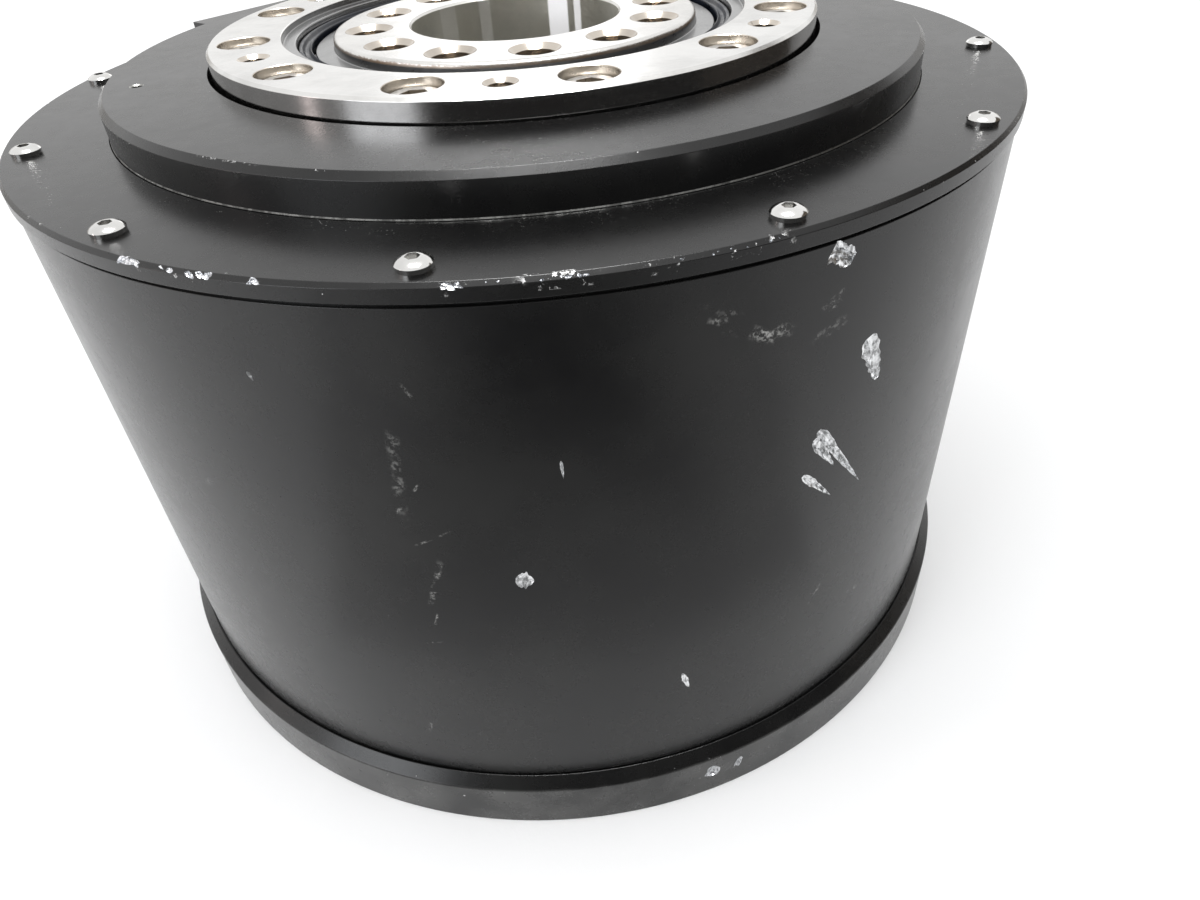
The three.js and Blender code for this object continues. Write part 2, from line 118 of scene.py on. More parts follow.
class Surface:
    """A material, and short ways to add the nodes that colour it. Its coordinates are in metres."""

    def __init__(self, name, **settings):
        self.material = bpy.data.materials.new(name)
        self.material.use_nodes = True
        self.tree = self.material.node_tree
        self.shader = self.tree.nodes["Principled BSDF"]
        for socket, value in settings.items():
            self.shader.inputs[socket.replace("_", " ")].default_value = value
        self.place = self.add("ShaderNodeTexCoord").outputs["Object"]

    def add(self, kind, inputs=(), **properties):
        node = self.tree.nodes.new(kind)
        for key, value in properties.items():
            setattr(node, key, value)
        for key, value in dict(inputs).items():
            self.feed(node.inputs[key], value)
        return node

    def feed(self, socket, value):
        if isinstance(value, bpy.types.NodeSocket):
            self.tree.links.new(value, socket)
        else:
            socket.default_value = value

    def math(self, operation, first, second=0.0, clamp=False):
        node = self.add("ShaderNodeMath", {0: first, 1: second}, operation=operation, use_clamp=clamp)
        return node.outputs[0]

    def noise(self, scale, detail=3.0, roughness=0.55, place=None, stretch=None):
        place = self.place if place is None else place
        if stretch:
            place = self.add("ShaderNodeMapping", {"Vector": place, "Scale": stretch}).outputs[0]
        inputs = {"Vector": place, "Scale": scale, "Detail": detail, "Roughness": roughness}
        return self.add("ShaderNodeTexNoise", inputs).outputs["Fac"]

    def specks(self, scale, size, share):
        """Small round dots in a share of the cells of a grid of that scale."""
        cells = self.add("ShaderNodeTexVoronoi", {"Vector": self.place, "Scale": scale})
        near = self.step(cells.outputs["Distance"], size, size * 0.6)
        chosen = self.add("ShaderNodeSeparateColor", {"Color": cells.outputs["Color"]}).outputs[0]
        return self.math("MULTIPLY", near, self.step(chosen, share, share * 0.98))

    def step(self, value, low, high):
        """0 below low and 1 above high, smoothly; the other way round where low is above high."""
        inputs = {"Value": value, "From Min": low, "From Max": high}
        return self.add("ShaderNodeMapRange", inputs, interpolation_type="SMOOTHSTEP").outputs[0]

    def between(self, value, low, high, edge):
        rising = self.step(value, low - edge, low + edge)
        falling = self.step(value, high + edge, high - edge)
        return self.math("MULTIPLY", rising, falling)

    def scaled(self, value, low, high, start=0.0, end=1.0):
        inputs = {"Value": value, "From Min": start, "From Max": end, "To Min": low, "To Max": high}
        return self.add("ShaderNodeMapRange", inputs).outputs[0]

    def blend(self, factor, first, second):
        inputs = {"Factor": factor, 6: colour(first), 7: colour(second)}
        return self.add("ShaderNodeMix", inputs, data_type="RGBA").outputs[2]

    def most(self, *values):
        top = values[0]
        for value in values[1:]:
            top = self.math("MAXIMUM", top, value)
        return top

    def polar(self):
        """(distance from the axis, angle in degrees, height), all in metres but the angle."""
        parts = self.add("ShaderNodeSeparateXYZ", {"Vector": self.place}).outputs
        flat = self.math("ADD", self.math("POWER", parts[0], 2.0), self.math("POWER", parts[1], 2.0))
        turn = self.math("ARCTAN2", parts[1], parts[0])
        return self.math("SQRT", flat), self.math("MULTIPLY", turn, math.degrees(1)), parts[2]

    def relief(self, height, distance, strength=1.0):
        inputs = {"Height": height, "Distance": distance, "Strength": strength}
        previous = self.shader.inputs["Normal"]
        if previous.is_linked:
            inputs["Normal"] = previous.links[0].from_socket
        self.feed(previous, self.add("ShaderNodeBump", inputs).outputs[0])

    def set(self, socket, value):
        self.feed(self.shader.inputs[socket], value)


def colour(value):
    return value if isinstance(value, bpy.types.NodeSocket) else (*value, 1.0)


def turning_marks(surface, pitch, depth, flat=True):
    """Fine machining rings: round a flat face by radius, or round a wall by height."""
    radius, _, height = surface.polar()
    along = radius if flat else height
    line = surface.add("ShaderNodeCombineXYZ", {"X": along}).outputs[0]
    rings = surface.noise(1 / pitch, detail=2.0, place=line)
    surface.relief(rings, depth)
    return rings


BARE_ALUMINIUM = (0.55, 0.55, 0.55)
# A shaded copy of the bare aluminium, for the painted shade in chips.
SHADED_ALUMINIUM = (0.14, 0.14, 0.135)
ANODISED = (0.004, 0.004, 0.0043)
ANODISED_WORN = (0.009, 0.009, 0.0087)


def anodised(name, chips=None, dust=None, scuffs=(), flat=True):
    """Black satin anodised aluminium. chips and dust take the surface and give a mask."""
    skin = Surface(name, Metallic=0.0, IOR=1.5, Specular_IOR_Level=0.34)
    cloud = skin.noise(38.0, detail=4.0)
    grime = skin.noise(260.0, detail=5.0, roughness=0.7)
    tone = skin.blend(skin.step(cloud, 0.3, 0.75), ANODISED, ANODISED_WORN)
    turning_marks(skin, 0.0002, 0.0000012, flat)
    skin.relief(skin.noise(5200.0, detail=2.0), 0.0000035)
    rough = skin.scaled(skin.math("ADD", cloud, grime), 0.23, 0.31, 0.6, 1.4)
    for scuff in scuffs:
        mark = scuff_mask(skin, *scuff)
        tone = skin.blend(mark, tone, (0.3, 0.3, 0.29))
        rough = skin.math("ADD", rough, skin.math("MULTIPLY", mark, 0.2))
    if dust:
        tone = skin.blend(dust(skin), tone, (0.5, 0.5, 0.48))
    if chips:
        bare = chips(skin)
        # Painted shade: dark patches in the bare chips, standing for the shade on their uneven torn faces.
        shade_patches = skin.step(skin.noise(1500.0, detail=4.0, roughness=0.7), 0.44, 0.58)
        bright = skin.blend(shade_patches, BARE_ALUMINIUM, SHADED_ALUMINIUM)
        tone = skin.blend(bare, tone, bright)
        skin.set("Metallic", bare)
        rough = skin.math("ADD", rough, skin.math("MULTIPLY", bare, 0.05))
        skin.relief(skin.math("SUBTRACT", 1.0, bare), 0.00006)
    skin.set("Base Color", tone)
    skin.set("Roughness", rough)
    return skin.material


def scuff_mask(skin, angle, height, length, width, tilt, strength):
    """A faint rubbed streak on the drum's wall, at an angle and height in degrees and millimetres."""
    _, turn, level = skin.polar()
    around = skin.math("MULTIPLY", skin.math("SUBTRACT", turn, angle), math.radians(CAN_RADIUS * MM))
    up = skin.math("SUBTRACT", level, height * MM)
    lean = math.radians(tilt)
    along = skin.math(
        "ADD", skin.math("MULTIPLY", around, math.cos(lean)), skin.math("MULTIPLY", up, math.sin(lean))
    )
    across = skin.math(
        "SUBTRACT", skin.math("MULTIPLY", up, math.cos(lean)), skin.math("MULTIPLY", around, math.sin(lean))
    )
    long_fade = skin.step(skin.math("ABSOLUTE", along), length * MM / 2, length * MM / 5)
    side_fade = skin.step(skin.math("ABSOLUTE", across), width * MM / 2, width * MM / 6)
    strokes = skin.step(skin.noise(1100.0, detail=4.0, roughness=0.8), 0.47, 0.6)
    clusters = skin.step(skin.noise(330.0, detail=1.0), 0.42, 0.6)
    broken = skin.math("MULTIPLY", strokes, clusters)
    mask = skin.math("MULTIPLY", skin.math("MULTIPLY", long_fade, side_fade), broken)
    return skin.math("MULTIPLY", mask, strength)


# Stretches of the cover's chamfer that are chipped to bare metal: from and to angles, and how much of each
COVER_WEAR = [(-124, -111, 0.2), (-97, -95, 0.26), (-91.5, -86.5, 0.34), (-83, -71, 0.26), (-140, -136, 0.2)]
BOSS_WEAR = [(-127, -119, 0.4), (-112, -109, 0.2), (-96, -92, 0.2)]


def worn_stretches(surface, stretches, inner, outer, bottom, top, scale):
    """Broken bare patches on an edge, inside named stretches and between two radii and two heights."""
    radius, turn, height = surface.polar()
    ring = surface.between(radius, inner * MM, outer * MM, 0.0001)
    band = surface.between(height, bottom * MM, top * MM, 0.0001)
    broken = surface.noise(scale, detail=5.0, roughness=0.68)
    patches = None
    for start, end, share in stretches:
        window = surface.between(turn, start, end, 0.8)
        bare = surface.math("MULTIPLY", window, surface.step(broken, 0.72 - share / 2, 0.76 - share / 2))
        patches = bare if patches is None else surface.most(patches, bare)
    nicks = surface.step(surface.noise(scale * 1.7, detail=2.0), 0.745, 0.765)
    patches = surface.most(patches, nicks)
    return surface.math("MULTIPLY", surface.math("MULTIPLY", ring, band), patches)


def cover_chips(surface):
    inner = COVER_RADIUS - COVER_CHAMFER - 0.5
    return worn_stretches(surface, COVER_WEAR, inner, COVER_RADIUS + 1, COVER_TOP - 2, COVER_TOP + 1, 520.0)


def boss_chips(surface):
    edge = BOSS_RADIUS - BOSS_CHAMFER
    return worn_stretches(surface, BOSS_WEAR, edge - 0.1, edge + 0.2, BOSS_TOP - 0.2, BOSS_TOP + 1, 900.0)


def lip_chips(surface):
    inner = BASE_RADIUS - 1.7
    return worn_stretches(surface, [(-78, -70, 0.1)], inner, BASE_RADIUS + 1, 0, BASE_LIP + 0.6, 420.0)


def lip_film(surface):
    """A thin pale film of dust on the base's upright lip."""
    radius, _, height = surface.polar()
    upright = surface.step(radius, (BASE_RADIUS - 0.7) * MM, (BASE_RADIUS - 0.2) * MM)
    below = surface.step(height, (BASE_LIP + 0.4) * MM, BASE_LIP * MM)
    lip = surface.math("MULTIPLY", upright, below)
    cloud = surface.scaled(surface.noise(75.0, detail=4.0), 0.0, 0.09, 0.35, 0.7)
    return surface.math("MULTIPLY", lip, cloud, clamp=True)


def foot_dust(surface):
    """Pale specks gathered round the foot of the boss."""
    radius, _, _ = surface.polar()
    close = surface.step(radius, (BOSS_RADIUS + 8.4) * MM, (BOSS_RADIUS + 0.5) * MM)
    sparse = surface.step(surface.noise(140.0, detail=2.0), 0.45, 0.65)
    dots = surface.math("MULTIPLY", surface.specks(1900.0, 0.16, 0.8), close)
    return surface.math("MULTIPLY", dots, sparse)


def ring_foot_dust(surface):
    """Pale specks gathered round the bearing ring, on the boss's top."""
    radius, _, _ = surface.polar()
    close = surface.step(radius, (BOSS_BORE + 6.3) * MM, BOSS_BORE * MM)
    return surface.math("MULTIPLY", surface.specks(1900.0, 0.15, 0.92), surface.math("MULTIPLY", close, 0.6))


STAIN = (0.15, 0.105, 0.07)


def steel(name, base, rough, pitch, depth, flat=True, stain=None, painted_reflection=None, oil=0.0):
    """Machined steel with fine turning marks and cloudy tarnish.

    stain and the reflection mask take the surface and give a mask each: for rust, and for pale streaks
    painted in as reflections. oil is a clear coat.
    """
    skin = Surface(name, Metallic=1.0, IOR=2.5)
    rings = turning_marks(skin, pitch, depth, flat)
    cloud = skin.noise(90.0, detail=5.0)
    fine = skin.noise(1400.0, detail=3.0)
    dull = tuple(channel * 0.78 for channel in base)
    tone = skin.blend(skin.step(cloud, 0.35, 0.75), base, dull)
    tone = skin.blend(skin.math("MULTIPLY", rings, 0.25), tone, dull)
    varied = skin.math("ADD", cloud, fine)
    roughness = skin.scaled(varied, rough * 0.75, rough * 1.35, 0.6, 1.4)
    if stain:
        mask = stain(skin)
        tone = skin.blend(mask, tone, STAIN)
        roughness = skin.math("ADD", roughness, skin.math("MULTIPLY", mask, 0.25))
    # Painted reflections: pale streaks painted into the colour, standing for light reflected in the wall.
    if painted_reflection:
        mask = painted_reflection(skin)
        tone = skin.blend(mask, tone, (0.95, 0.95, 0.97))
        roughness = skin.math("ADD", roughness, skin.math("MULTIPLY", mask, 0.3))
    if oil:
        skin.set("Coat Weight", oil)
        skin.set("Coat Roughness", 0.08)
    skin.set("Base Color", tone)
    skin.set("Roughness", roughness)
    skin.relief(fine, 0.0000015)
    return skin.material


def flange_stain(surface):
    """Rust and old oil in ragged patches on the rounded outer edge of the flange."""
    radius, _, height = surface.polar()
    ragged = surface.scaled(surface.noise(1300.0, detail=5.0, roughness=0.65), -0.0005, 0.0005)
    level = surface.math("ADD", height, ragged)
    low = surface.step(level, (FLANGE_TOP - 0.35) * MM, (FLANGE_TOP - 0.75) * MM)
    edge = surface.step(radius, (FLANGE_RADIUS - 1.5) * MM, (FLANGE_RADIUS - 1.0) * MM)
    thickness = surface.scaled(surface.noise(60.0, detail=2.0), 0.55, 1.1, 0.3, 0.7)
    return surface.math("MULTIPLY", surface.math("MULTIPLY", edge, low), thickness, clamp=True)


# Painted reflections: light stripes painted down the oily bore, standing for light reflected in it: from and
# to angles in degrees, and strength
BORE_REFLECTION_STRIPES = [(56, 69, 0.9), (46.5, 51.5, 0.8), (105, 112, 0.25), (128, 140, 0.2)]


def bore_painted_reflections(surface):
    """The mask of the light stripes, which are painted reflections."""
    _, turn, _ = surface.polar()
    stripes = None
    for start, end, strength in BORE_REFLECTION_STRIPES:
        stripe = surface.math("MULTIPLY", surface.between(turn, start, end, 0.7), strength)
        stripes = stripe if stripes is None else surface.most(stripes, stripe)
    return stripes


def gear_tarnish(surface):
    return surface.step(surface.noise(60.0, detail=4.0), 0.5, 0.8)


def seal_rubber():
    """Dark blue-black rubber, wet with oil in places."""
    skin = Surface("seal_rubber", Specular_IOR_Level=0.35)
    wet = skin.noise(220.0, detail=3.0)
    dry = (0.0022, 0.004, 0.0095)
    oily = (0.005, 0.009, 0.02)
    skin.set("Base Color", skin.blend(skin.step(wet, 0.35, 0.7), dry, oily))
    skin.set("Roughness", skin.scaled(wet, 0.24, 0.45, 0.3, 0.7))
    skin.relief(skin.noise(2500.0, detail=2.0), 0.00001)
    return skin.material


def bare_metal(name, base, rough, grain):
    """Torn bare metal inside a gouge or chip: its own bright colour, broken by dark patches of painted shade
    that stand for the shade on its uneven torn faces.
    """
    skin = Surface(name, Metallic=1.0)
    tear = skin.noise(grain, detail=4.0, roughness=0.7, stretch=(1.0, 1.0, 0.45))
    # Painted shade: a darker copy of the colour, in random patches along the tear.
    shade_patches = skin.step(tear, 0.44, 0.6)
    skin.set("Base Color", skin.blend(shade_patches, base, tuple(channel * 0.36 for channel in base)))
    skin.set("Roughness", skin.scaled(tear, rough * 0.6, rough * 1.5, 0.3, 0.7))
    skin.relief(tear, 0.00008)
    return skin.material


def pale_floor():
    skin = Surface("pale_floor", Specular_IOR_Level=0.3)
    cloud = skin.noise(2.2, detail=3.0)
    skin.set("Base Color", skin.blend(cloud, (0.93, 0.935, 0.94), (0.96, 0.96, 0.96)))
    skin.set("Roughness", skin.scaled(skin.noise(30.0), 0.42, 0.6))
    skin.relief(skin.noise(900.0, detail=2.0), 0.00002)
    return skin.material


# Rubbed streaks on the drum: angle, height, length, width, tilt and strength, in millimetres and degrees
DRUM_SCUFFS = [
    (-74.3, 121.5, 21, 4.5, -26, 0.85),
    (-66, 121, 6, 3, 25, 0.6),
    (-66, 116, 9, 3, 20, 0.25),
    (-103, 76, 14, 1.6, 72, 0.7),
    (-104, 101, 24, 3.0, 84, 0.28),
    (-107.8, 31, 7, 1.2, 80, 0.6),
    (-63.5, 50, 9, 1.0, 55, 0.5),
    (-56.5, 43, 5, 2.0, 0, 0.35),
    (-101.3, 117, 5, 0.8, -60, 0.5),
    (-126, 90, 3, 1.6, 40, 0.6),
    (-103.6, 96, 12, 0.7, 52, 0.8),
    (-102.2, 87, 9, 0.6, 28, 0.7),
    (-103.8, 66, 4, 0.7, 70, 0.8),
    (-104.6, 59, 4, 0.7, 15, 0.7),
    (-89.3, 114, 3, 0.8, 85, 0.6),
]

black_base = anodised("black_base", chips=lip_chips, dust=lip_film)
black_drum = anodised("black_drum", scuffs=DRUM_SCUFFS, flat=False)
black_cover = anodised("black_cover", chips=cover_chips, dust=foot_dust)
black_boss = anodised("black_boss", chips=boss_chips, dust=ring_foot_dust)
ground_ring = steel("ground_ring", (0.66, 0.655, 0.64), 0.2, 0.00035, 0.0000009)
ground_flange = steel("ground_flange", (0.64, 0.63, 0.61), 0.22, 0.0003, 0.0000009, stain=flange_stain)
ring_wall = steel("ring_wall", (0.56, 0.55, 0.54), 0.13, 0.00025, 0.0000006, flat=False)
# The bore wall's light stripes are painted reflections.
bore_wall = steel("bore_wall", (0.5, 0.49, 0.44), 0.36, 0.0003, 0.0000012, flat=False, painted_reflection=bore_painted_reflections)
hole_wall = steel("hole_wall", (0.5, 0.455, 0.395), 0.3, 0.0004, 0.0000012, flat=False)
thread_steel = steel("thread_steel", (0.55, 0.5, 0.44), 0.17, 0.0006, 0.000001, flat=False)
groove_steel = steel("groove_steel", (0.2, 0.2, 0.2), 0.3, 0.0003, 0.000001, oil=0.3)
screw_steel = steel("screw_steel", (0.82, 0.8, 0.77), 0.34, 0.0004, 0.000001)
stainless = steel("stainless", (0.68, 0.675, 0.66), 0.12, 0.0003, 0.0000004)
turned_steel = steel("turned_steel", (0.44, 0.43, 0.42), 0.3, 0.0006, 0.000002, stain=gear_tarnish)
gear_steel = steel("gear_steel", (0.36, 0.355, 0.36), 0.24, 0.0005, 0.0000015, oil=0.6)
bronze = steel("bronze", (0.55, 0.33, 0.13), 0.34, 0.0005, 0.000002, flat=False)
oily_seal = seal_rubber()
torn_aluminium = bare_metal("torn_aluminium", (0.86, 0.87, 0.88), 0.34, 1300.0)
torn_rim = bare_metal("torn_rim", (0.6, 0.61, 0.63), 0.3, 2200.0)
foot_line = bare_metal("foot_line", (0.13, 0.13, 0.125), 0.4, 500.0)
cut_aluminium = bare_metal("cut_aluminium", (0.42, 0.42, 0.4), 0.3, 700.0)


# ------------------------------------------------ mesh tools


own_materials = {}


def shade(mesh):
    mesh.shade_smooth()
    mesh.set_sharp_from_angle(angle=SHARP_ANGLE)


def apply_modifiers(piece):
    graph = bpy.context.evaluated_depsgraph_get()
    mesh = bpy.data.meshes.new_from_object(piece.evaluated_get(graph))
    mesh.name = piece.name
    piece.modifiers.clear()
    piece.data = mesh


def true_normals(piece):
    """Normals from the large faces, and exactly radial on the piece's own walls round the axis."""
    weights = piece.modifiers.new("weights", "WEIGHTED_NORMAL")
    weights.weight = 100
    weights.keep_sharp = True
    apply_modifiers(piece)
    mesh = piece.data
    normals = [corner.vector.copy() for corner in mesh.corner_normals]
    for face in mesh.polygons:
        outward = Vector((face.center.x, face.center.y, 0)).normalized()
        facing = face.normal.dot(outward)
        if abs(facing) < 0.9995 or face.material_index >= own_materials[piece.name]:
            continue
        for corner in face.loop_indices:
            place = mesh.vertices[mesh.loops[corner].vertex_index].co
            normals[corner] = Vector((place.x, place.y, 0)).normalized() * math.copysign(1, facing)
    mesh.normals_split_custom_set(normals)


def piece_from(name, shape, materials):
    """A scene object from a bmesh, its faces smooth but for the sharp edges."""
    bmesh.ops.recalc_face_normals(shape, faces=shape.faces)
    mesh = bpy.data.meshes.new(name)
    shape.to_mesh(mesh)
    shape.free()
    for material in materials:
        mesh.materials.append(material)
    shade(mesh)
    piece = bpy.data.objects.new(name, mesh)
    bpy.context.collection.objects.link(piece)
    own_materials[piece.name] = len(materials)
    return piece


def softened(profile, closed):
    """The profile's points, where one given as (radius, height, cut) becomes a small rounded corner."""
    points = []
    count = len(profile)
    for index, corner in enumerate(profile):
        here = Vector(corner[:2])
        cut = corner[2] if len(corner) > 2 else 0
        if not cut or (not closed and index in (0, count - 1)):
            points.append(here)
            continue
        before = Vector(profile[index - 1][:2])
        after = Vector(profile[(index + 1) % count][:2])
        start = here + (before - here).normalized() * cut
        end = here + (after - here).normalized() * cut
        for step in range(5):
            t = step / 4
            points.append(start * (1 - t) ** 2 + here * 2 * t * (1 - t) + end * t**2)
    return points


def revolve(name, profile, materials, sides=SIDES, zone=None, swell=None):
    """Turns a profile in millimetres round the axis: closed on itself, or from pole to pole.

    zone(radius, height) gives a face its material's number, and swell(angle, radius, height) a new radius.
    """
    closed = profile[0][0] > 0
    points = softened(profile, closed)
    shape = bmesh.new()
    rings = []
    for radius, height in points:
        if radius == 0:
            rings.append([shape.verts.new((0, 0, height * MM))] * sides)
            continue
        ring = []
        for side in range(sides):
            angle = 2 * math.pi * side / sides
            out = swell(angle, radius, height) if swell else radius
            place = (out * math.cos(angle), out * math.sin(angle), height)
            ring.append(shape.verts.new([value * MM for value in place]))
        rings.append(ring)
    pairs = list(zip(rings, rings[1:], points, points[1:]))
    if closed:
        pairs.append((rings[-1], rings[0], points[-1], points[0]))
    for lower, upper, low, high in pairs:
        number = zone((low[0] + high[0]) / 2, (low[1] + high[1]) / 2) if zone else 0
        for side in range(sides):
            following = (side + 1) % sides
            corners = [lower[side], lower[following], upper[following], upper[side]]
            distinct = list(dict.fromkeys(corners))
            if len(distinct) > 2:
                shape.faces.new(distinct).material_index = number
    return piece_from(name, shape, materials)


def prism(name, outline, bottom, top, material):
    """An upright solid over an outline of points in millimetres."""
    shape = bmesh.new()
    floor = [shape.verts.new((x * MM, y * MM, bottom * MM)) for x, y in outline]
    roof = [shape.verts.new((x * MM, y * MM, top * MM)) for x, y in outline]
    shape.faces.new(floor)
    shape.faces.new(roof)
    for side in range(len(outline)):
        following = (side + 1) % len(outline)
        shape.faces.new((floor[side], floor[following], roof[following], roof[side]))
    return piece_from(name, shape, [material])


def hexagon(across_flats):
    corner = across_flats / math.sqrt(3)
    return [(corner * math.cos(k * math.pi / 3), corner * math.sin(k * math.pi / 3)) for k in range(6)]


def placed(piece, angle, radius, turn=0.0, name=None):
    """A copy of a piece moved out from the axis to a radius at an angle, turned on its own axis first."""
    copy = bpy.data.objects.new(name or piece.name, piece.data.copy())
    bpy.context.collection.objects.link(copy)
    place = Vector((radius * MM * math.cos(angle), radius * MM * math.sin(angle), 0))
    copy.data.transform(Matrix.Translation(place) @ Matrix.Rotation(turn, 4, "Z"))
    own_materials[copy.name] = 0
    return copy


def joined(pieces, name):
    """One object out of several, which are then gone."""
    shape = bmesh.new()
    materials = []
    for piece in pieces:
        slots = []
        for material in piece.data.materials:
            if material not in materials:
                materials.append(material)
            slots.append(materials.index(material))
        first = len(shape.faces)
        shape.from_mesh(piece.data)
        shape.faces.ensure_lookup_table()
        for face in shape.faces[first:]:
            face.material_index = slots[face.material_index] if slots else 0
        remove(piece)
    return piece_from(name, shape, materials)


def remove(piece):
    bpy.data.objects.remove(piece)


def combine(piece, tools, operation, overlapping=False):
    """Cuts the tools out of a piece, or adds them to it, keeping the tools' materials and sharp rims."""
    tool = joined(tools, "tool")
    modifier = piece.modifiers.new("boolean", "BOOLEAN")
    modifier.object = tool
    modifier.operation = operation
    modifier.solver = "EXACT"
    modifier.use_self = overlapping
    modifier.material_mode = "TRANSFER"
    apply_modifiers(piece)
    remove(tool)
    shade(piece.data)
    own = own_materials[piece.name]
    shape = bmesh.new()
    shape.from_mesh(piece.data)
    for edge in shape.edges:
        if len({face.material_index < own for face in edge.link_faces}) == 2:
            edge.smooth = False
    shape.to_mesh(piece.data)
    shape.free()


def carve(piece, tools, overlapping=False):
    combine(piece, tools, "DIFFERENCE", overlapping)


def drill_bit(radius, bottom, top, material, chamfer=0.0, sides=FINE_HOLE_SIDES, point=0.0):
    """A cutter for a round hole whose mouth is at top, with a chamfered edge and a pointed bottom."""
    profile = [
        (0, bottom - point),
        (radius, bottom),
        (radius, top - chamfer),
        (radius + chamfer, top),
        (radius + chamfer, top + 1),
        (0, top + 1),
    ]
    return revolve("drill_bit", profile, [material], sides)


def tap(core, major, pitch, bottom, top, chamfer, material, sides=FINE_HOLE_SIDES):
    """A cutter for a threaded hole, the thread as rings, with a chamfered mouth."""
    profile = [(0, bottom - core / 2), (core, bottom)]
    mouth = major + chamfer
    height = bottom + pitch
    while height + pitch < top - (mouth - core):
        profile.append((core, height))
        profile.append((major, height + pitch / 2))
        height += pitch
    profile += [(core, top - (mouth - core)), (mouth, top), (mouth, top + 1), (0, top + 1)]
    return revolve("tap", profile, [material], sides)


def ringed(tool, nodes):
    """Copies of a cutter at the places of these frame nodes."""
    copies = []
    for node in nodes:
        radius, angle, _, _ = middle_of(node)
        copies.append(placed(tool, math.radians(angle), radius))
    remove(tool)
    return copies


def spaced(tool, count, radius, first):
    copies = [placed(tool, math.radians(first + index * 360 / count), radius) for index in range(count)]
    remove(tool)
    return copies


def chip(angle, height, radius, length, width, depth, tilt, material, seed, lean=0.0):
    """A cutter for one torn mark in a wall: a rough lens lying on the surface at an angle and height.

    It is length by width, sunk by depth, and turned by tilt degrees in the surface's plane.
    """
    shape = bmesh.new()
    bmesh.ops.create_icosphere(shape, subdivisions=2, radius=1.0)
    for vert in shape.verts:
        rough = noise.noise(vert.co * 2.6 + Vector((seed * 3.1, 0, 0)))
        vert.co *= 1 + 0.45 * rough
    flat = Matrix.Diagonal((length * MM / 2, width * MM / 2, depth * MM * 2, 1))
    turn = Matrix.Rotation(math.radians(tilt), 4, "Z")
    lift = Matrix.Translation((0, 0, depth * MM))
    stand = Matrix.Rotation(math.radians(90 - lean), 4, "X")
    turned = math.radians(angle)
    face = Matrix.Rotation(turned + math.pi / 2, 4, "Z")
    spot = Matrix.Translation(Vector((radius * math.cos(turned), radius * math.sin(turned), height)) * MM)
    shape.transform(spot @ face @ stand @ lift @ turn @ flat)
    return piece_from("chip", shape, [material])


def gouge(radius, material, seed, angle, height, length, width, depth, tilt, blunt, point, skew):
    """A cutter for a torn groove in an upright wall, wide at its start and running out to its tail.

    It starts at an angle and height on the wall, and runs along a line tilted in degrees from level.
    blunt is the share of its length that it takes to widen. A small point keeps its tail wide, and skew
    deepens one side.
    """
    steps = 26
    lanes = 12
    lean = math.radians(tilt)
    shift = Vector((seed * 5.3, seed * 2.1, 0))
    shape = bmesh.new()
    rows = []
    for step in range(steps + 1):
        along = step / steps
        ragged = 1 + 0.35 * noise.noise(Vector((along * 9, 0, 0)) + shift)
        taper = min(1, (along + 0.02) / blunt) ** 0.5 * (1.02 - along) ** point
        spread = width / 2 * taper * ragged
        row = []
        for lane in range(lanes + 1):
            side = 2 * lane / lanes - 1
            ridge = noise.noise(Vector((along * 3, side * 3.5, 0)) + shift)
            bowl = (1 - side * side) * (1 + skew * side) * (1 + 0.8 * ridge) * taper**0.6
            level = depth * (0.2 - 1.2 * bowl)
            row.append((along * length, side * spread, level))
        rows.append(row)

    def on_wall(along, across, level):
        around = along * math.cos(lean) - across * math.sin(lean)
        up = along * math.sin(lean) + across * math.cos(lean)
        turn = math.radians(angle) + around / radius
        out = (radius + level) * MM
        return shape.verts.new((out * math.cos(turn), out * math.sin(turn), (height + up) * MM))

    floor = [[on_wall(*point) for point in row] for row in rows]
    lid = [[on_wall(along, across, depth) for along, across, _ in row] for row in rows]
    for sheet in (floor, lid):
        for row, following in zip(sheet, sheet[1:]):
            for lane in range(lanes):
                shape.faces.new((row[lane], row[lane + 1], following[lane + 1], following[lane]))
    rim = [row[0] for row in floor] + floor[-1][1:] + [row[-1] for row in reversed(floor[:-1])]
    rim += list(reversed(floor[0][1:-1]))
    top = [row[0] for row in lid] + lid[-1][1:] + [row[-1] for row in reversed(lid[:-1])]
    top += list(reversed(lid[0][1:-1]))
    for index, corner in enumerate(rim):
        following = (index + 1) % len(rim)
        shape.faces.new((corner, rim[following], top[following], top[index]))
    return piece_from("gouge", shape, [material])


def finish(piece, body, slot, *nodes):
    true_normals(piece)
    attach(piece, body)
    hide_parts(*nodes)


# ------------------------------------------------ black housing


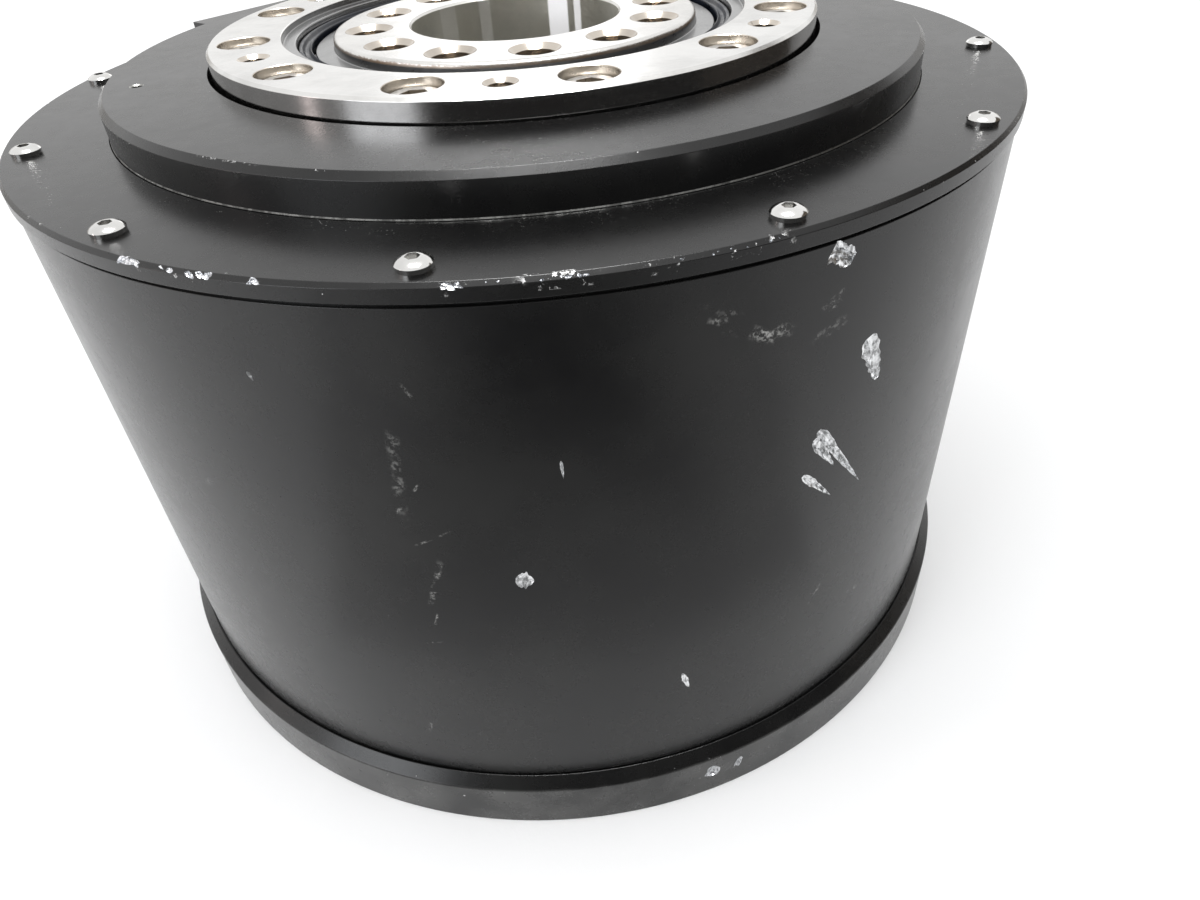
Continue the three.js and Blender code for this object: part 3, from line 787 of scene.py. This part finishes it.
def build_base():
    """The base plate, its chamfered lip, the fine groove at the drum's foot and the tapped underside."""
    profile = [
        (36, 0, 0.6),
        (BASE_RADIUS, 0, 0.4),
        (BASE_RADIUS, BASE_LIP, 0.25),
        (BASE_SHOULDER, BASE_TOP, 0.05),
        (CAN_RADIUS + 0.35, BASE_TOP),
        (CAN_RADIUS + 0.35, BASE_TOP - 1.2),
        (CAN_RADIUS - 0.4, BASE_TOP - 1.2),
        (CAN_RADIUS - 0.4, BASE_TOP),
        (SPIGOT_RADIUS, BASE_TOP),
        (SPIGOT_RADIUS, BASE_SPIGOT_TOP, 0.4),
        (92, BASE_SPIGOT_TOP, 0.4),
        (92, 12, 2.0),
        (50, 12, 2.0),
        (50, BASE_SPIGOT_TOP, 0.4),
        (39.3, BASE_SPIGOT_TOP, 0.4),
        (39.3, 7, 0.3),
        (36, 7, 0.3),
    ]
    base = revolve("base_plate_fine", profile, [black_base])
    holes = spaced(tap(2.5, 3.0, 1.0, -9, 0, 0.3, thread_steel), 8, 98, 22.5)
    for hole in holes:
        hole.data.transform(Matrix.Rotation(math.pi, 4, "X"))
    lip_marks = [
        chip(-76.3, 7.4, BASE_RADIUS, 4.0, 5.0, 0.45, 20, torn_rim, 31),
        chip(-72.9, 7.4, BASE_RADIUS, 2.6, 4.4, 0.45, -10, torn_rim, 32),
    ]
    carve(base, holes + lip_marks)
    finish(base, "housing", "black_anodised", "base_plate")


# Gouges in the drum: angle, height, length, width, depth, tilt, and then blunt, point and skew as in gouge()
DRUM_GOUGES = [
    (-65.8, 95.6, 22.5, 3.0, 0.8, -54, 0.1, 0.8, 0.0),
    (-66.2, 94.0, 10.5, 3.6, 0.7, -56, 0.2, 0.8, 0.0),
    (-67.1, 86.4, 11.5, 2.6, 0.5, -47, 0.2, 0.8, 0.0),
    (-60.9, 111.2, 10.8, 5.4, 0.9, -68, 0.1, 0.35, -0.7),
    (-66.8, 130.2, 5.2, 4.8, 0.7, -30, 0.1, 0.2, 0.0),
    (-95.4, 76.8, 3.2, 6.6, 0.3, -8, 0.5, 0.5, 0.0),
    (-90.1, 103.0, 3.8, 0.9, 0.3, -88, 0.4, 0.8, 0.0),
    (-115.1, 118.7, 1.8, 1.2, 0.3, -70, 0.5, 0.8, 0.0),
    (-79.6, 42.8, 5.2, 2.0, 0.25, -75, 0.5, 0.5, 0.0),
]


def build_drum():
    """The tall drum wall: its tapped rim, its gouges, and the step that makes the seam under the cover."""
    seam = 0.65
    profile = [
        (CAN_BORE, BASE_TOP, 0.3),
        (CAN_RADIUS, BASE_TOP, 0.3),
        (CAN_RADIUS, CAN_TOP - seam, 0.15),
        (CAN_RADIUS - seam, CAN_TOP - seam),
        (CAN_RADIUS - seam, CAN_TOP, 0.1),
        (CAN_BORE, CAN_TOP, 0.3),
    ]
    drum = revolve("can_shell_fine", profile, [black_drum])
    tapped = ringed(tap(1.6, 1.75, 0.5, 124.5, CAN_TOP, 0.1, thread_steel, 24), COVER_SCREWS)
    marks = [gouge(CAN_RADIUS, torn_aluminium, seed, *mark) for seed, mark in enumerate(DRUM_GOUGES, 1)]
    carve(drum, tapped)
    carve(drum, marks, overlapping=True)
    finish(drum, "housing", "black_anodised", "can_shell")


# Chipped stretches of the cover's rim: from and to angles, number of chips, typical size in millimetres
RIM_CHIPS = [
    (-124.5, -121.5, 5, 2.6),
    (-121, -117, 5, 1.5),
    (-116.5, -111, 9, 1.9),
    (-97, -95.3, 4, 1.6),
    (-94, -92.5, 2, 0.8),
    (-91.5, -87, 7, 0.9),
    (-82, -72, 9, 0.6),
]


def build_cover():
    """The cover ring, its chipped chamfer and its screw holes."""
    bore = BOSS_RADIUS + 0.3
    profile = [
        (bore, COVER_BOTTOM, 0.15),
        (COVER_RADIUS, COVER_BOTTOM, 0.15),
        (COVER_RADIUS, COVER_TOP - COVER_CHAMFER, 0.08),
        (COVER_RADIUS - COVER_CHAMFER, COVER_TOP, 0.08),
        (bore, COVER_TOP, 0.12),
    ]
    cover = revolve("cover_plate_fine", profile, [black_cover])
    holes = ringed(drill_bit(1.65, COVER_BOTTOM - 1, COVER_TOP, turned_steel, 0.1, 24), COVER_SCREWS)
    chips = []
    for start, end, count, size in RIM_CHIPS:
        for number in range(count):
            chips.append(
                chip(
                    angle=random.uniform(start, end),
                    height=COVER_TOP - random.uniform(0.1, 0.7),
                    radius=COVER_RADIUS - 0.3,
                    length=size * random.uniform(0.6, 1.5),
                    width=size * random.uniform(0.3, 0.7),
                    depth=random.uniform(0.12, 0.3),
                    tilt=random.uniform(-35, 35),
                    material=torn_rim,
                    seed=len(chips) + 40,
                    lean=45,
                )
            )
    carve(cover, holes)
    carve(cover, chips, overlapping=True)
    finish(cover, "housing", "black_anodised", "cover_plate")


def build_boss():
    """The bearing carrier: the raised boss with its flat pad, the shoulder below and the ledge inside."""
    foot = BOSS_RADIUS + 0.16
    profile = [
        (78, CARRIER_BOTTOM, 0.3),
        (SPIGOT_RADIUS, CARRIER_BOTTOM, 0.4),
        (SPIGOT_RADIUS, CAN_TOP, 0.2),
        (foot, CAN_TOP),
        (foot, COVER_TOP + 0.1),
        (BOSS_RADIUS, COVER_TOP + 0.32),
        (BOSS_RADIUS, BOSS_TOP - BOSS_CHAMFER, 0.08),
        (BOSS_RADIUS - BOSS_CHAMFER, BOSS_TOP, 0.08),
        (BOSS_BORE, BOSS_TOP, 0.12),
        (BOSS_BORE, RING_BOTTOM, 0.2),
        (LEDGE_BORE, RING_BOTTOM, 0.3),
        (LEDGE_BORE, 107, 0.5),
        (78, 107, 0.8),
    ]

    def zone(radius, height):
        return 1 if radius > BOSS_RADIUS and COVER_TOP + 0.08 < height < COVER_TOP + 0.3 else 0

    boss = revolve("bearing_carrier_fine", profile, [black_boss, foot_line], zone=zone)
    half = PAD_WIDTH / 2
    corners = [(PAD_INNER, -half), (PAD_FACE, -half), (PAD_FACE, half), (PAD_INNER, half)]
    pad = prism("pad", corners, COVER_TOP + 0.3, BOSS_TOP, black_boss)
    pad.data.transform(Matrix.Rotation(PAD_ANGLE, 4, "Z"))
    combine(boss, [pad], "UNION")
    screw_holes = ringed(tap(2.7, 3.1, 1.0, 110, RING_BOTTOM, 0.2, thread_steel, 24), RING_SCREWS)
    witness = spaced(drill_bit(1.2, BOSS_TOP - 5, BOSS_TOP, cut_aluminium, 0.25, 24, 0.7), 1, 82, 196)
    carve(boss, screw_holes + witness)
    finish(boss, "housing", "black_anodised", "bearing_carrier")


# ------------------------------------------------ output bearing and flange


JACK_ANGLE = -93.6
FLANGE_HOLE_ANGLE = -84.5
FLANGE_HOLE_CIRCLE = 33


def build_bearing_ring():
    """The ground outer ring: stepped lip over the seal, roller groove, counterbores and jack holes."""
    profile = [
        (RING_WALL, RING_BOTTOM, 0.4),
        (RING_RADIUS, RING_BOTTOM, 0.4),
        (RING_RADIUS, RING_TOP - RING_CHAMFER, 0.06),
        (RING_RADIUS - RING_CHAMFER, RING_TOP, 0.06),
        (RING_INNER, RING_TOP, 0.35),
        (RING_INNER, RING_STEP, 0.3),
        (RING_WALL, RING_STEP, 0.4),
        (RING_WALL, ROLLER_HEIGHT + GROOVE_DEPTH, 0.2),
        (RING_WALL + GROOVE_DEPTH, ROLLER_HEIGHT, 0.3),
        (RING_WALL, ROLLER_HEIGHT - GROOVE_DEPTH, 0.2),
    ]

    def zone(radius, height):
        if radius > RING_RADIUS - 0.02:
            return 1
        return 2 if radius < RING_INNER + 0.02 and height > RING_STEP - 1 else 0

    ring = revolve("bearing_outer_ring_fine", profile, [ground_ring, ring_wall, groove_steel], zone=zone)
    counterbores = drill_bit(COUNTERBORE_RADIUS, COUNTERBORE_FLOOR, RING_TOP, hole_wall, 0.12, 64)
    clearance = drill_bit(3.3, RING_BOTTOM - 1, COUNTERBORE_FLOOR - 0.5, hole_wall, 0.0, 32)
    jacks = tap(2.5, 3.0, 1.0, RING_TOP - 16, RING_TOP, 0.25, thread_steel, 40)
    carve(ring, ringed(counterbores, RING_SCREWS) + spaced(jacks, 6, 59.2, JACK_ANGLE))
    carve(ring, ringed(clearance, RING_SCREWS))
    finish(ring, "housing", "ground_steel", "bearing_outer_ring")


def build_seal():
    """The lip seal in the groove, with a hollow between its two lips."""
    inner = SEAL_OUTER - 2.75
    profile = [
        (inner + 0.5, SEAL_BOTTOM, 0.2),
        (SEAL_OUTER, SEAL_BOTTOM, 0.2),
        (SEAL_OUTER, SEAL_TOP, 0.3),
        (SEAL_OUTER - 0.7, SEAL_TOP, 0.3),
        (SEAL_OUTER - 1.2, SEAL_TOP - 1.0, 0.4),
        (inner + 0.7, SEAL_TOP - 1.0, 0.3),
        (inner + 0.25, SEAL_TOP - 0.1, 0.15),
        (inner, SEAL_TOP - 0.4, 0.1),
    ]
    seal = revolve("output_oil_seal_fine", profile, [oily_seal])
    finish(seal, "housing", "seal_rubber", "output_oil_seal")


def build_flange():
    """The output flange, the bearing's inner ring: rounded edge, lower shoulder, groove and tapped holes."""
    shoulder = FLANGE_SHOULDER_TOP
    profile = [
        (FLANGE_BORE, FLANGE_BOTTOM, 0.3),
        (FLANGE_SHOULDER, FLANGE_BOTTOM, 0.3),
        (FLANGE_SHOULDER, ROLLER_HEIGHT - GROOVE_DEPTH, 0.2),
        (FLANGE_SHOULDER - GROOVE_DEPTH, ROLLER_HEIGHT, 0.3),
        (FLANGE_SHOULDER, ROLLER_HEIGHT + GROOVE_DEPTH, 0.2),
        (FLANGE_SHOULDER, shoulder, 0.3),
        (FLANGE_RADIUS + 0.15, shoulder, 0.3),
        (FLANGE_RADIUS, FLANGE_TOP, 1.1),
        (FLANGE_BORE + 0.5, FLANGE_TOP, 0.1),
        (FLANGE_BORE, FLANGE_TOP - 0.5, 0.1),
    ]

    def zone(radius, height):
        if radius < FLANGE_BORE + 0.1:
            return 1
        return 2 if radius > FLANGE_RADIUS + 0.02 and height > ROLLER_HEIGHT else 0

    flange = revolve("output_flange_fine", profile, [ground_flange, bore_wall, groove_steel], zone=zone)
    holes = tap(4.25, 4.95, 1.5, FLANGE_TOP - 19, FLANGE_TOP, 0.4, thread_steel)
    carve(flange, spaced(holes, 12, FLANGE_HOLE_CIRCLE, FLANGE_HOLE_ANGLE))
    finish(flange, "output", "ground_steel", "output_flange")


def build_hollow_tube():
    """The open tube down the axis, with its collar in the bottom of the flange's bore."""
    profile = [
        (TUBE_INNER, TUBE_BOTTOM, 0.5),
        (TUBE_OUTER, TUBE_BOTTOM, 0.5),
        (TUBE_OUTER, FLANGE_BOTTOM),
        (TUBE_COLLAR, FLANGE_BOTTOM, 0.2),
        (TUBE_COLLAR, TUBE_TOP, 0.4),
        (TUBE_INNER, TUBE_TOP, 0.5),
    ]
    tube = revolve("hollow_tube_fine", profile, [turned_steel], MEDIUM_SIDES)
    finish(tube, "output", "raw_steel", "hollow_tube")


def build_input_side():
    """The input hub with its tapped face, and the seal round it."""
    cut = 0.5
    profile = [
        (SHAFT_BORE, HUB_BOTTOM, cut),
        (HUB_RADIUS, HUB_BOTTOM, cut),
        (HUB_RADIUS, HUB_TOP, cut),
        (SHAFT_BORE, HUB_TOP, cut),
    ]
    hub = revolve("input_hub_fine", profile, [turned_steel], MEDIUM_SIDES)
    holes = spaced(tap(1.65, 2.0, 0.7, -10 - HUB_BOTTOM, -HUB_BOTTOM, 0.2, thread_steel, 24), 6, 22.2, 0)
    for hole in holes:
        hole.data.transform(Matrix.Rotation(math.pi, 4, "X"))
    carve(hub, holes)
    finish(hub, "input", "raw_steel", "input_hub")
    inner = HUB_RADIUS + 0.3
    seal_profile = [
        (inner, INPUT_SEAL_BOTTOM + 1.0, 0.2),
        (inner + 2.0, INPUT_SEAL_BOTTOM + 1.6, 0.5),
        (inner + 3.0, INPUT_SEAL_BOTTOM, 0.4),
        (INPUT_SEAL_OUTER, INPUT_SEAL_BOTTOM, 0.5),
        (INPUT_SEAL_OUTER, INPUT_SEAL_TOP, 0.5),
        (inner + 0.4, INPUT_SEAL_TOP, 0.4),
    ]
    seal = revolve("input_oil_seal_fine", seal_profile, [oily_seal], MEDIUM_SIDES)
    finish(seal, "housing", "seal_rubber", "input_oil_seal")


# ------------------------------------------------ screws


def build_cover_screws():
    """Button heads with a hex socket, each turned its own way."""
    _, _, bottom, top = middle_of(COVER_SCREWS[0])
    head = 2.85
    flat = 1.45
    edge = 0.3
    steps = 8
    rise = top - COVER_TOP
    profile = [(0, bottom), (1.3, bottom), (1.5, bottom + 0.4), (1.5, COVER_TOP), (head - 0.1, COVER_TOP)]

    def bulge(out):
        return math.sqrt(1 - (out / (head + 0.15)) ** 2)

    for step in range(steps + 1):
        out = head - (head - flat) * step / steps
        profile.append((out, COVER_TOP + edge + (rise - edge) * bulge(out) / bulge(flat)))
    profile.append((0, top))
    screw = revolve("cover_screw", profile, [stainless], FINE_HOLE_SIDES)
    socket = prism("socket", hexagon(2.0), top - 1.0, top + 1, stainless)
    carve(screw, [socket])
    for node in COVER_SCREWS:
        radius, angle, _, _ = middle_of(node)
        copy = placed(screw, math.radians(angle), radius, random.uniform(0, math.pi), f"{node}_fine")
        finish(copy, "housing", "stainless", node)
    remove(screw)


def build_ring_screws():
    """Socket head cap screws with knurled sides, deep in their counterbores."""
    _, _, bottom, top = middle_of(RING_SCREWS[0])
    head = 4.95
    ridges = 36

    def knurl(angle, out, height):
        knurled = out > 4.8 and COUNTERBORE_FLOOR + 0.4 < height < top - 0.7
        return out - 0.16 * (0.5 + 0.5 * math.cos(ridges * angle)) if knurled else out

    profile = [
        (0, bottom),
        (2.6, bottom),
        (3.0, bottom + 0.5),
        (3.0, COUNTERBORE_FLOOR),
        (head, COUNTERBORE_FLOOR, 0.1),
        (head, COUNTERBORE_FLOOR + 0.5),
        (head, top - 0.8),
        (head, top, 0.6),
        (3.4, top),
        (0, top),
    ]
    screw = revolve("ring_screw", profile, [screw_steel], ridges * 4, swell=knurl)
    socket = prism("socket", hexagon(5.0), top - 3.0, top + 1, hole_wall)
    carve(screw, [socket])
    for node in RING_SCREWS:
        radius, angle, _, _ = middle_of(node)
        copy = placed(screw, math.radians(angle), radius, random.uniform(0, math.pi), f"{node}_fine")
        finish(copy, "housing", "screw_steel", node)
    remove(screw)


# ------------------------------------------------ inside


INSIDE = {
    "ring_gear": gear_steel,
    "second_sun_gear": gear_steel,
    "first_sun_gear": gear_steel,
    "roller_cage": gear_steel,
    "input_bearing_balls": gear_steel,
    "output_carrier": turned_steel,
    "output_carrier_lower_plate": turned_steel,
    "first_carrier_plate": turned_steel,
    "input_bearing_inner_race": turned_steel,
    "input_bearing_outer_race": turned_steel,
}
for stage in ("first_stage", "second_stage"):
    for number in (1, 2, 3):
        INSIDE[f"{stage}_planet_{number}"] = gear_steel
        INSIDE[f"{stage}_pin_{number}"] = turned_steel
for number in (1, 2, 3):
    INSIDE[f"second_stage_bush_{number}"] = bronze


def dress_inside():
    """Gives the gears, pins and bearings inside their metals, through their objects' material slots."""
    for name, material in INSIDE.items():
        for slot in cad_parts[name].material_slots:
            slot.link = "OBJECT"
            slot.material = material


# ------------------------------------------------ floor, light and camera


def build_floor():
    shape = bmesh.new()
    bmesh.ops.create_grid(shape, x_segments=8, y_segments=8, size=4.0)
    floor = piece_from("floor", shape, [pale_floor()])


def fading_floor(surface):
    """Where the floor card's painted shadow fades: 0 straight in front of the object, and 1 to its sides and
    close to its foot.
    """
    radius, turn, _ = surface.polar()
    aside = surface.step(surface.math("ABSOLUTE", surface.math("ADD", turn, 90.0)), 5.0, 34.0)
    return surface.most(aside, surface.step(radius, 0.3, 0.15))


def dark_card(name, corners, tone, fading=None):
    """A dark card seen only in reflections. corners are pairs of points along its two long edges."""
    shape = bmesh.new()
    rows = [(shape.verts.new(low), shape.verts.new(high)) for low, high in corners]
    for (low, high), (next_low, next_high) in zip(rows, rows[1:]):
        shape.faces.new((low, next_low, next_high, high))
    paper = Surface(name, Roughness=1.0, Specular_IOR_Level=0.0)
    darker = tuple(channel * 0.5 for channel in tone)
    shown = paper.blend(paper.noise(3.0), darker, tone)
    if fading:
        shown = paper.blend(fading(paper), shown, (0.66, 0.66, 0.66))
    paper.set("Base Color", shown)
    card = piece_from(name, shape, [paper.material])
    card.visible_camera = False
    card.visible_shadow = False
    card.visible_diffuse = False


def around(start, end, steps=24):
    """Unit directions in plan from one angle to another, in degrees."""
    angles = [math.radians(start + (end - start) * step / steps) for step in range(steps + 1)]
    return [Vector((math.cos(angle), math.sin(angle), 0)) for angle in angles]


WALL_DISTANCE = 0.9


def build_dark_room():
    """The dark side of the room behind the camera, as the housing mirrors it: walls, and painted shadow on
    the floor there, standing for the floor in front lying in shade.
    """
    up = Vector((0, 0, 1))
    for name, start, end, tone in (
        ("dark_wall", 236, 335, (0.03, 0.027, 0.024)),
        ("brown_wall", 335, 385, (0.15, 0.125, 0.1)),
    ):
        feet = [way * WALL_DISTANCE + up * 0.04 for way in around(start, end)]
        wall = [(foot, foot + up * 0.71) for foot in feet]
        dark_card(name, wall, tone)
    # Painted shadow: a dark card on the floor in front, seen only in reflections, standing for the floor
    # there lying in shade.
    ground = [(way * 0.15 + up * 0.002, way * 0.6 + up * 0.002) for way in around(228, 312)]
    dark_card("dark_floor_card", ground, (0.02, 0.02, 0.02), fading_floor)


def add_light(name, place, target, size, power, tint=(1.0, 1.0, 1.0)):
    light = bpy.data.lights.new(name, "AREA")
    light.shape = "RECTANGLE"
    light.size, light.size_y = size
    light.energy = power
    light.color = tint
    holder = bpy.data.objects.new(name, light)
    holder.location = place
    holder.rotation_euler = (Vector(target) - Vector(place)).to_track_quat("-Z", "Y").to_euler()
    bpy.context.collection.objects.link(holder)
    return holder


def build_world():
    """An even white room with a duller band along the horizon."""
    world = bpy.data.worlds.new("studio")
    bpy.context.scene.world = world
    world.use_nodes = True
    tree = world.node_tree
    direction = tree.nodes.new("ShaderNodeTexCoord").outputs["Generated"]
    split = tree.nodes.new("ShaderNodeSeparateXYZ")
    rise = tree.nodes.new("ShaderNodeMapRange")
    rise.interpolation_type = "SMOOTHSTEP"
    rise.inputs["From Min"].default_value = 0.02
    rise.inputs["From Max"].default_value = 0.2
    mix = tree.nodes.new("ShaderNodeMix")
    mix.data_type = "RGBA"
    mix.inputs[6].default_value = (0.36, 0.34, 0.31, 1.0)
    mix.inputs[7].default_value = (1.0, 1.0, 1.0, 1.0)
    tree.links.new(direction, split.inputs[0])
    tree.links.new(split.outputs["Z"], rise.inputs["Value"])
    tree.links.new(rise.outputs[0], mix.inputs["Factor"])
    background = tree.nodes["Background"]
    tree.links.new(mix.outputs[2], background.inputs["Color"])
    background.inputs["Strength"].default_value = 1.25


def build_light():
    build_world()
    centre = (0, 0, BOSS_TOP * MM)
    overhead = add_light("overhead", (0.0, -0.12, 1.1), centre, (0.5, 0.35), 26.0)
    overhead.visible_diffuse = False
    add_light("window", (-0.69, -0.58, 0.42), centre, (0.4, 0.42), 2.6, (0.93, 0.96, 1.0))
    add_light("door_gap", (-0.885, -0.19, 0.42), centre, (0.08, 0.42), 0.5, (1.0, 0.86, 0.84))
    add_light("far_light", (0.0, 1.2, 0.5), centre, (0.4, 0.3), 0.27)


CAMERA_PLACE = (0.0, -0.21166, 0.18708)
CAMERA_DOWN = math.radians(37.12)
CAMERA_TURN = math.radians(3.43)
CAMERA_ROLL = math.radians(-3.94)
CAMERA_LENS = 25.31
CAMERA_SHIFT = (0.00105, -0.0217)


def build_camera():
    """The photograph's viewpoint: close, looking down, turned a little to the right and rolled."""
    camera = bpy.data.cameras.new("camera")
    camera.lens = CAMERA_LENS
    camera.sensor_width = 36.0
    camera.shift_x, camera.shift_y = CAMERA_SHIFT
    camera.clip_start = 0.005
    holder = bpy.data.objects.new("camera", camera)
    bpy.context.collection.objects.link(holder)
    ahead = Vector(
        (
            math.sin(CAMERA_TURN) * math.cos(CAMERA_DOWN),
            math.cos(CAMERA_TURN) * math.cos(CAMERA_DOWN),
            -math.sin(CAMERA_DOWN),
        )
    )
    level = Vector((math.cos(CAMERA_TURN), -math.sin(CAMERA_TURN), 0))
    up = level.cross(ahead)
    right = math.cos(CAMERA_ROLL) * level + math.sin(CAMERA_ROLL) * up
    top = math.cos(CAMERA_ROLL) * up - math.sin(CAMERA_ROLL) * level
    turn = Matrix((right, top, -ahead)).transposed().to_4x4()
    holder.matrix_world = Matrix.Translation(CAMERA_PLACE) @ turn
    bpy.context.scene.camera = holder


build_camera()
build_floor()
build_dark_room()
build_light()
build_base()
build_drum()
build_cover()
build_boss()
build_bearing_ring()
build_seal()
build_flange()
build_hollow_tube()
build_input_side()
build_cover_screws()
build_ring_screws()
dress_inside()

bpy.context.scene.view_settings.view_transform = "Standard"

bpy.context.view_layer.update()
